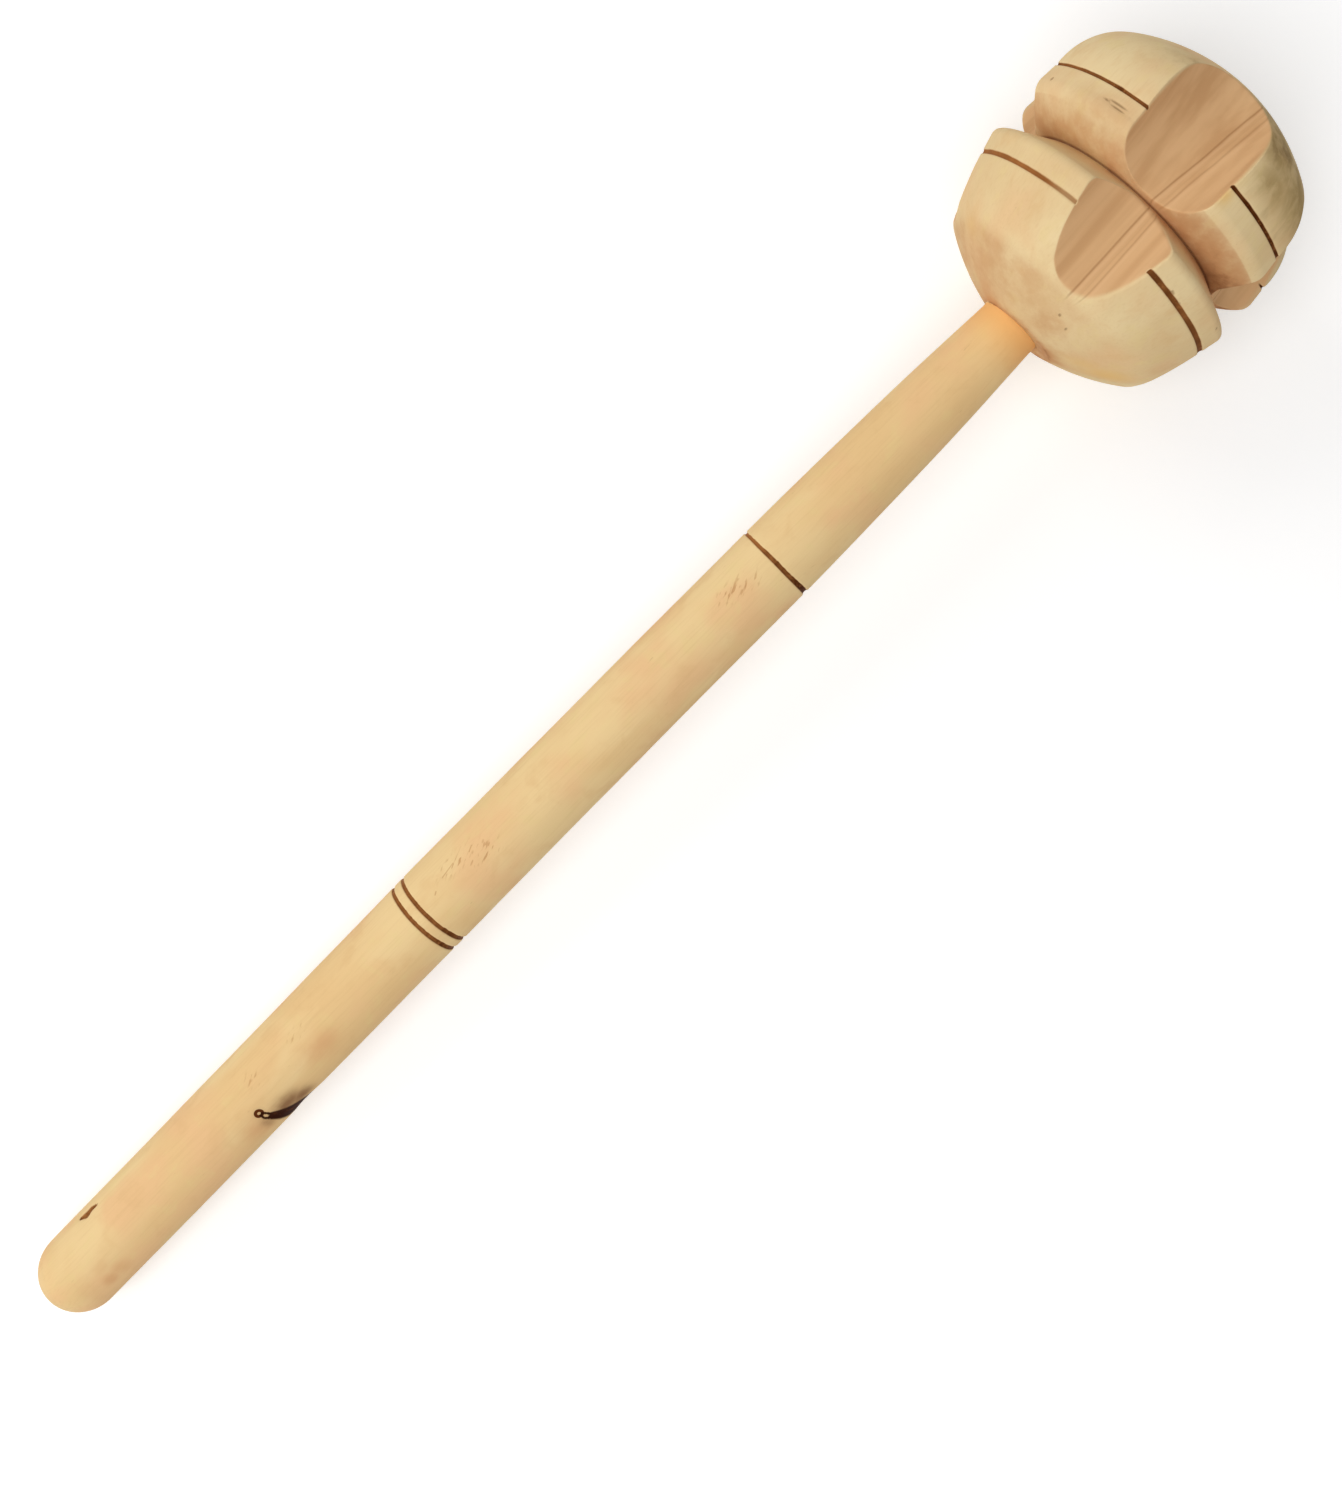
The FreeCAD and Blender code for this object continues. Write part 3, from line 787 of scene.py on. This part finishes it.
class Shader:
    """Adds nodes to one material's tree and joins them up."""

    def __init__(self, name):
        self.material = bpy.data.materials.new(name)
        self.material.use_nodes = True
        self.tree = self.material.node_tree
        self.surface = self.tree.nodes["Principled BSDF"]

    def add(self, kind, inputs, output=0, **settings):
        """A node with these settings; inputs are numbers, colours or other nodes' outputs."""
        made = self.tree.nodes.new(kind)
        for key, value in settings.items():
            setattr(made, key, value)
        for key, value in inputs.items():
            self.give(made.inputs[key], value)
        return made.outputs[output]

    def give(self, socket, value):
        if isinstance(value, bpy.types.NodeSocket):
            self.tree.links.new(value, socket)
        else:
            socket.default_value = value

    def place(self):
        """A point's place in the piece's own frame, in metres."""
        return self.add("ShaderNodeAttribute", {}, output="Vector", attribute_name="own_place")

    def stretched(self, scale):
        """The piece's own coordinates, scaled along each axis."""
        return self.add("ShaderNodeMapping", {"Vector": self.place(), "Scale": scale})

    def noise(self, scale, detail=4.0, roughness=0.55, distortion=0.0):
        """Noise whose waves are one over scale metres along each axis."""
        return self.add("ShaderNodeTexNoise", {
            "Vector": self.stretched(scale), "Scale": 1.0, "Detail": detail,
            "Roughness": roughness, "Distortion": distortion})

    def band(self, value, low, high, to_low=0.0, to_high=1.0):
        """Value from low to high, spread smoothly from to_low to to_high."""
        return self.add("ShaderNodeMapRange", {
            "Value": value, "From Min": low, "From Max": high,
            "To Min": to_low, "To Max": to_high}, interpolation_type="SMOOTHSTEP")

    def maths(self, operation, first, second):
        return self.add("ShaderNodeMath", {0: first, 1: second}, operation=operation)

    def vectors(self, operation, first, second, output=0):
        return self.add("ShaderNodeVectorMath", {0: first, 1: second}, output, operation=operation)

    def mask(self, name):
        """A mask that the piece's mesh holds."""
        return self.add("ShaderNodeAttribute", {}, output="Fac", attribute_name=name)

    def mix(self, factor, first, second, blend="MIX"):
        return self.add("ShaderNodeMix", {0: factor, 6: first, 7: second}, output=2,
                        data_type="RGBA", blend_type=blend)


# Colours of both pieces: the grain, its flecks and mottling, and the burned lines
GRAIN = colour(192, 146, 96)
FLECK = colour(150, 108, 66)
WARM_MOTTLE = colour(224, 182, 128)
PALE_MOTTLE = colour(234, 210, 146)
# The burned lines run from LIGHT_BURN to DARK_BURN, darkest towards -Y as painted shade
LIGHT_BURN = colour(162, 104, 56)
DARK_BURN = colour(78, 36, 8)
BURN_GRIT = colour(170, 110, 60)
SCORCH = colour(196, 146, 96)

# Colours of the handle: wood (pale, deep, warm), polish, smudges, smoke, torn grain, nick and knot
HANDLE_TONES = (colour(239, 208, 153), colour(234, 197, 141), colour(237, 193, 142))
AMBER = colour(244, 184, 112)
SMUDGE = colour(220, 168, 118)
SMOKED = colour(138, 98, 66)
TORN = colour(182, 126, 74)
NICK_TONES = (colour(110, 62, 30), colour(166, 108, 58))
EYE_TONE = colour(92, 46, 20)
KNOT_TONES = (colour(50, 20, 7), colour(96, 52, 22))

# Colours of the head: wood (pale, deep, warm), fresh cuts, reddish wood with painted shade, tinted
# patches with painted shade and a painted highlight, and small marks
HEAD_TONES = (colour(237, 212, 163), colour(230, 201, 151), colour(233, 196, 147))
CARVED_TONES = (colour(227, 182, 133), colour(209, 161, 113))
# Reddish wood and painted shade; the deeper tone is painted shade by the waist towards -Y
BLUSH_AND_SHADE_TONE = colour(200, 142, 94)
DEEP_BLUSH_AND_SHADE = colour(150, 94, 54)
# Yellowish wood, and a painted highlight on the corner by the underside
HONEY_AND_HIGHLIGHT_TONE = colour(234, 192, 122)
# Olive discoloured wood and painted shade on the dome towards -Y; the deeper tone darkens it further
OLIVE_AND_SHADE_TONE = colour(168, 140, 88)
DEEP_OLIVE_AND_SHADE = colour(126, 97, 54)
WAIST_TONE = colour(116, 58, 26)
CUT_TONE = colour(130, 92, 56)

# Gloss and fine relief of the wood; the relief is in metres
WOOD_SPECULAR = 0.02
RELIEF_STRENGTH = 0.3
RELIEF_HEIGHT = 0.0001


def bare_wood(shader, pale, deep, warm):
    """Colour and height of smooth pale wood: soft blotches, faint streaks and a few flecks."""
    drift = shader.noise((34, 60, 60), 3.0, 0.5, 0.4)
    blotch = shader.noise((62, 78, 78), 2.0, 0.5)
    streak = shader.noise((12, 360, 360), 4.0, 0.55, 0.2)
    fibre = shader.noise((110, 2200, 2200), 2.0, 0.5)
    fleck = shader.noise((300, 1500, 1500), 2.0, 0.5)
    tone = shader.mix(shader.band(drift, 0.38, 0.64), pale, deep)
    tone = shader.mix(shader.band(blotch, 0.45, 0.68, 0.0, 0.8), tone, warm)
    mottle = shader.noise((150, 190, 190), 3.0, 0.55, 0.3)
    tone = shader.mix(shader.band(mottle, 0.52, 0.72, 0.0, 0.3), tone, WARM_MOTTLE)
    tone = shader.mix(shader.band(mottle, 0.3, 0.46, 0.3, 0.0), tone, PALE_MOTTLE)
    tone = shader.mix(shader.band(streak, 0.42, 0.75, 0.0, 0.06), tone, GRAIN)
    tone = shader.mix(shader.band(fibre, 0.45, 0.8, 0.0, 0.10), tone, GRAIN)
    flecks = shader.band(fleck, 0.72, 0.82, 0.0, 0.22)
    tone = shader.mix(flecks, tone, FLECK)
    height = shader.maths("SUBTRACT", shader.maths("MULTIPLY", fibre, 0.5), flecks)
    return tone, height, streak


def finish_wood(shader, tone, height, roughness):
    """Burned lines over the wood, then its gloss and fine relief."""
    char = shader.mask("char")
    grit = shader.noise((800, 800, 800), 3.0, 0.6)
    # The burn mask is darker towards -Y, as painted shade
    burned = shader.mix(shader.mask("burn"), LIGHT_BURN, DARK_BURN)
    burned = shader.mix(shader.band(grit, 0.5, 0.72, 0.0, 0.5), burned, BURN_GRIT)
    tone = shader.mix(shader.band(char, 0.02, 0.5, 0.0, 0.5), tone, SCORCH)
    tone = shader.mix(shader.band(char, 0.2, 0.65), tone, burned)
    shader.give(shader.surface.inputs["Base Color"], tone)
    shader.give(shader.surface.inputs["Roughness"], roughness)
    shader.surface.inputs["Specular IOR Level"].default_value = WOOD_SPECULAR
    bump = shader.add("ShaderNodeBump", {
        "Strength": RELIEF_STRENGTH, "Distance": RELIEF_HEIGHT, "Height": height}, output="Normal")
    shader.give(shader.surface.inputs["Normal"], bump)


# The strokes of torn grain: how they are turned, and how many there are to a metre each way
SCUFF_TURN = math.radians(-24)
SCUFF_SCALE = (420, 1700, 900)


def scuff_strokes(shader):
    """Short dents in the handle where the grain was torn, a little askew to its length."""
    turned = shader.add("ShaderNodeMapping", {
        "Vector": shader.place(), "Rotation": (0, 0, SCUFF_TURN)})
    drawn = shader.add("ShaderNodeMapping", {"Vector": turned, "Scale": SCUFF_SCALE})
    dents = shader.add("ShaderNodeTexNoise", {"Vector": drawn, "Scale": 1.0, "Detail": 1.5})
    return shader.maths("MULTIPLY", shader.band(dents, 0.56, 0.68), shader.mask("scuff"))


# Single scratches past the two rings: both ends of each, (along, round)
SCRATCHES = (
    ((129.0, 3.6), (133.3, 4.3)), ((133.6, 4.3), (136.8, 5.8)), ((125.6, 2.1), (126.5, 2.6)),
    ((139.3, -0.9), (140.0, -0.6)), ((137.0, 3.4), (138.6, 4.2)), ((129.8, 5.6), (131.0, 6.1)))
SCRATCH_WIDTH = 0.2


def on_handle(place):
    """The point in the handle's frame, in metres, at a place on its surface."""
    angle = place[1] / GRIP_RADIUS
    return Vector((place[0], GRIP_RADIUS * math.sin(angle), GRIP_RADIUS * math.cos(angle))) * MM


def scratch(shader, start, end):
    """1 on a fine straight line between two places on the handle."""
    first, last = on_handle(start), on_handle(end)
    run = (last - first).normalized()
    half = (last - first).length / 2
    from_first = shader.vectors("SUBTRACT", shader.place(), first)
    aside = shader.vectors("CROSS_PRODUCT", from_first, run)
    beside = shader.add("ShaderNodeVectorMath", {0: aside}, output="Value", operation="LENGTH")
    along = shader.vectors("DOT_PRODUCT", from_first, run, output="Value")
    past = shader.maths("ABSOLUTE", shader.maths("SUBTRACT", along, half), 0.0)
    line_mask = shader.band(beside, 0.0, SCRATCH_WIDTH * MM, 1.0, 0.0)
    return shader.maths("MULTIPLY", line_mask, shader.band(past, half * 0.8, half, 1.0, 0.0))


# The ring beside the knot, in metres
EYE_RADIUS = 0.0008
EYE_LINE = 0.00045


def knot_eye(shader):
    """The ring beside the knot, and the pale wood inside it."""
    away = shader.vectors("DISTANCE", shader.place(), on_handle(KNOT_EYE), output="Value")
    off = shader.maths("ABSOLUTE", shader.maths("SUBTRACT", away, EYE_RADIUS), 0.0)
    return shader.band(off, EYE_LINE * 0.4, EYE_LINE, 1.0, 0.0)


def handle_wood():
    shader = Shader("handle_wood")
    tone, height, streak = bare_wood(shader, *HANDLE_TONES)
    tone = shader.mix(shader.maths("MULTIPLY", shader.mask("amber"), 0.95), tone, AMBER)
    smoke = shader.noise((180, 260, 260), 3.0, 0.6)
    flush = shader.maths("MULTIPLY", shader.mask("flush"), shader.band(smoke, 0.3, 0.6, 0.7, 1.0))
    tone = shader.mix(shader.band(flush, 0.0, 1.0, 0.0, 0.85), tone, SMUDGE)
    stain = shader.maths("MULTIPLY", shader.mask("stain"), shader.band(smoke, 0.3, 0.6, 0.75, 1.0))
    tone = shader.mix(shader.band(stain, 0.0, 1.0, 0.0, 0.92), tone, SMOKED)
    scuff = scuff_strokes(shader)
    for start, end in SCRATCHES:
        scuff = shader.maths("MAXIMUM", scuff, scratch(shader, start, end))
    tone = shader.mix(shader.maths("MULTIPLY", scuff, 0.62), tone, TORN)
    grit = shader.noise((700, 900, 900), 3.0, 0.6)
    nick_tone = shader.mix(shader.band(grit, 0.35, 0.65), *NICK_TONES)
    tone = shader.mix(shader.band(shader.mask("nick"), 0.2, 0.6), tone, nick_tone)
    tone = shader.mix(shader.band(knot_eye(shader), 0.1, 0.6), tone, EYE_TONE)
    knot_tone = shader.mix(shader.band(grit, 0.5, 0.78), *KNOT_TONES)
    tone = shader.mix(shader.band(shader.mask("knot"), 0.1, 0.6), tone, knot_tone)
    height = shader.maths("SUBTRACT", height, scuff)
    finish_wood(shader, tone, height, shader.band(streak, 0.3, 0.7, 0.48, 0.6))
    return shader.material


def tool_line(shader, aside, place, width):
    """1 along a line on the flutes, at this distance aside of their middle."""
    off = shader.maths("ABSOLUTE", shader.maths("SUBTRACT", aside, place), 0.0)
    return shader.band(off, 0.0, width, 1.0, 0.0)


# The gouge's lines: (distance aside of the middle, width, strength, colour); the dark ones are dirt and
# painted shade in the grooves, the pale ones are painted highlights beside them
GOUGE_SHADE_AND_HIGHLIGHTS = (
    (-1.6, 0.36, 0.55, colour(160, 112, 70)), (-3.9, 0.32, 0.36, colour(166, 118, 76)),
    (-2.2, 0.5, 0.4, colour(232, 190, 144)), (-4.5, 0.5, 0.3, colour(232, 190, 144)),
    (-3.0, 0.3, 0.12, colour(176, 128, 84)))

# How far the gouge's lines waver to each side
GROOVE_SWAY = 0.12


def carved_wood(shader, tone):
    """The flutes: freshly cut, pinker wood with streaks, and the gouge's lines along them, painted as
    dark shade in the grooves with pale highlights beside them.
    """
    sway = shader.noise((60, 300, 300), 2.0, 0.5)
    wavering = shader.band(sway, 0.3, 0.7, -GROOVE_SWAY, GROOVE_SWAY)
    aside = shader.maths("ADD", shader.mask("aside"), wavering)
    long_streak = shader.noise((7, 230, 230), 3.0, 0.5)
    carved = shader.mix(shader.band(long_streak, 0.36, 0.66), *CARVED_TONES)
    tone = shader.mix(shader.band(shader.mask("flute"), 0.1, 0.9, 0.0, 0.95), tone, carved)
    # Painted shade in the gouge's grooves, and painted highlights beside them
    for place, width, strength, shade in GOUGE_SHADE_AND_HIGHLIGHTS:
        line_mask = shader.maths("MULTIPLY", tool_line(shader, aside, place, width), shader.mask("trace"))
        tone = shader.mix(shader.maths("MULTIPLY", line_mask, strength), tone, shade)
    return tone


def head_wood():
    shader = Shader("head_wood")
    tone, height, streak = bare_wood(shader, *HEAD_TONES)
    smoke = shader.noise((150, 150, 150), 4.0, 0.6)
    # Reddish wood and painted shade by the waist, round the seat and on the underside; the deeper tone is
    # painted shade
    blush_and_shade = shader.maths("MULTIPLY", shader.mask("blush_and_shade"), shader.band(smoke, 0.3, 0.65, 0.5, 1.0))
    tone = shader.mix(shader.band(blush_and_shade, 0.0, 1.0, 0.0, 0.8), tone, BLUSH_AND_SHADE_TONE)
    tone = shader.mix(shader.band(blush_and_shade, 0.9, 1.6, 0.0, 0.75), tone, DEEP_BLUSH_AND_SHADE)
    # Yellowish wood, and a painted highlight on the corner by the underside
    tone = shader.mix(shader.maths("MULTIPLY", shader.mask("honey_and_highlight"), 0.8), tone, HONEY_AND_HIGHLIGHT_TONE)
    # Olive discoloured wood, and painted shade on the dome towards -Y
    cloud = shader.noise((90, 260, 260), 4.0, 0.6, 0.5)
    olive_and_shade = shader.maths("MULTIPLY", shader.mask("olive_and_shade"), shader.band(cloud, 0.35, 0.65, 0.62, 1.0))
    tone = shader.mix(shader.band(olive_and_shade, 0.0, 1.0, 0.0, 0.92), tone, OLIVE_AND_SHADE_TONE)
    # Darker patches within it: painted shade and discoloured wood
    patch = shader.noise((120, 210, 210), 3.0, 0.55, 0.4)
    deep = shader.maths("MULTIPLY", olive_and_shade, shader.band(patch, 0.5, 0.68))
    tone = shader.mix(shader.maths("MULTIPLY", deep, 0.6), tone, DEEP_OLIVE_AND_SHADE)
    tone = carved_wood(shader, tone)
    tone = shader.mix(shader.band(shader.mask("waist"), 0.1, 0.8, 0.0, 0.75), tone, WAIST_TONE)
    tone = shader.mix(shader.band(shader.mask("cuts"), 0.15, 0.8, 0.0, 0.6), tone, CUT_TONE)
    finish_wood(shader, tone, height, shader.band(streak, 0.3, 0.7, 0.52, 0.64))
    return shader.material


# Stage: a floor that looks white past the shadow, and a world that looks white; in metres

FLOOR_REACH = 3.0
FLOOR_SHADE = 0.93
FLOOR_ROUGHNESS = 0.9
WHITE = (1, 1, 1, 1)

# How much brighter than it is lit the floor looks, so that it is white outside the shadow
FLOOR_LIFT = 0.27

# Past these distances from the middle, the lamps fade and the floor is lifted to white
LIT_REACH = (0.3, 1.4)

# How strongly the world lights the whisk
WORLD_LEVEL = 0.39

# Lamps: name, place and power, all of one width and facing one point
LAMPS = (("key", (-0.52, 0.0, 0.97), 6.0), ("side", (0.03, 0.90, 0.65), 3.0))
LAMP_WIDTH = 0.7
LAMP_AIM = (0.03, 0, 0.02)


def seen_directly(tree):
    """1 where the camera or a reflected or transmitted ray sees the surface, 0 where it gives light."""
    path = tree.nodes.new("ShaderNodeLightPath")
    seen = path.outputs["Is Camera Ray"]
    for kind in ("Is Glossy Ray", "Is Transmission Ray"):
        either = tree.nodes.new("ShaderNodeMath")
        either.operation = "MAXIMUM"
        tree.links.new(seen, either.inputs[0])
        tree.links.new(path.outputs[kind], either.inputs[1])
        seen = either.outputs[0]
    return seen


def make_floor():
    mesh = bpy.data.meshes.new("floor")
    near, far = -FLOOR_REACH, FLOOR_REACH
    mesh.from_pydata([(near, near, 0), (far, near, 0), (far, far, 0), (near, far, 0)], [], [(0, 1, 2, 3)])
    floor = bpy.data.objects.new("floor", mesh)
    bpy.context.scene.collection.objects.link(floor)
    shader = Shader("floor_white")
    shader.surface.inputs["Base Color"].default_value = (FLOOR_SHADE, FLOOR_SHADE, FLOOR_SHADE, 1)
    shader.surface.inputs["Roughness"].default_value = FLOOR_ROUGHNESS
    shader.surface.inputs["Specular IOR Level"].default_value = 0.0
    shader.surface.inputs["Emission Color"].default_value = WHITE
    seen = seen_directly(shader.tree)
    where = shader.add("ShaderNodeTexCoord", {}, output="Object")
    away = shader.add("ShaderNodeVectorMath", {0: where}, output="Value", operation="LENGTH")
    lift = shader.band(away, *LIT_REACH, FLOOR_LIFT, 1.0)
    shader.give(shader.surface.inputs["Emission Strength"], shader.maths("MULTIPLY", seen, lift))
    mesh.materials.append(shader.material)


def make_lamp(name, place, power):
    """A square soft lamp that faces the whisk."""
    light = bpy.data.lights.new(name, "AREA")
    light.size = LAMP_WIDTH
    light.energy = power
    lamp = bpy.data.objects.new(name, light)
    lamp.location = place
    lamp.rotation_mode = "QUATERNION"
    lamp.rotation_quaternion = (Vector(LAMP_AIM) - Vector(place)).to_track_quat("-Z", "Y")
    bpy.context.scene.collection.objects.link(lamp)


def make_world():
    world = bpy.data.worlds.new("studio")
    world.use_nodes = True
    tree = world.node_tree
    background = tree.nodes["Background"]
    strength = tree.nodes.new("ShaderNodeMix")
    tree.links.new(seen_directly(tree), strength.inputs[0])
    strength.inputs[2].default_value = WORLD_LEVEL
    strength.inputs[3].default_value = 1.0
    tree.links.new(strength.outputs[0], background.inputs["Strength"])
    background.inputs["Color"].default_value = WHITE
    bpy.context.scene.world = world


# Camera: where it stands over the handle's axis, and its turns from looking straight down on it
CAMERA_ALONG = 223.02
CAMERA_HEIGHT = 392.8
CAMERA_SWING = math.radians(6.17)
CAMERA_NOD = math.radians(-1.69)
CAMERA_ROLL = math.radians(-45.46)
IMAGE_HEIGHT = 1500
FOCAL_PIXELS = 1900.0
CLIP_START = 0.01


def make_camera():
    data = bpy.data.cameras.new("camera")
    data.lens = data.sensor_width * FOCAL_PIXELS / IMAGE_HEIGHT
    data.clip_start = CLIP_START
    camera = bpy.data.objects.new("camera", data)
    above = Matrix.Translation((CAMERA_ALONG * MM, 0, CAMERA_HEIGHT * MM))
    turned = (Matrix.Rotation(CAMERA_SWING, 4, "Y") @ Matrix.Rotation(CAMERA_NOD, 4, "X")
              @ Matrix.Rotation(CAMERA_ROLL, 4, "Z"))
    camera.matrix_world = handle_frame() @ above @ turned
    bpy.context.scene.collection.objects.link(camera)
    bpy.context.scene.camera = camera


# The whole scene

make_camera()
for piece, node, material in ((make_handle(), "handle", handle_wood()),
                              (make_head(), "head", head_wood())):
    piece.data.materials.append(material)
    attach(piece, "root")
    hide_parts(node)

make_floor()
make_world()
for name, place, power in LAMPS:
    make_lamp(name, place, power)
bpy.context.scene.view_settings.view_transform = "Standard"
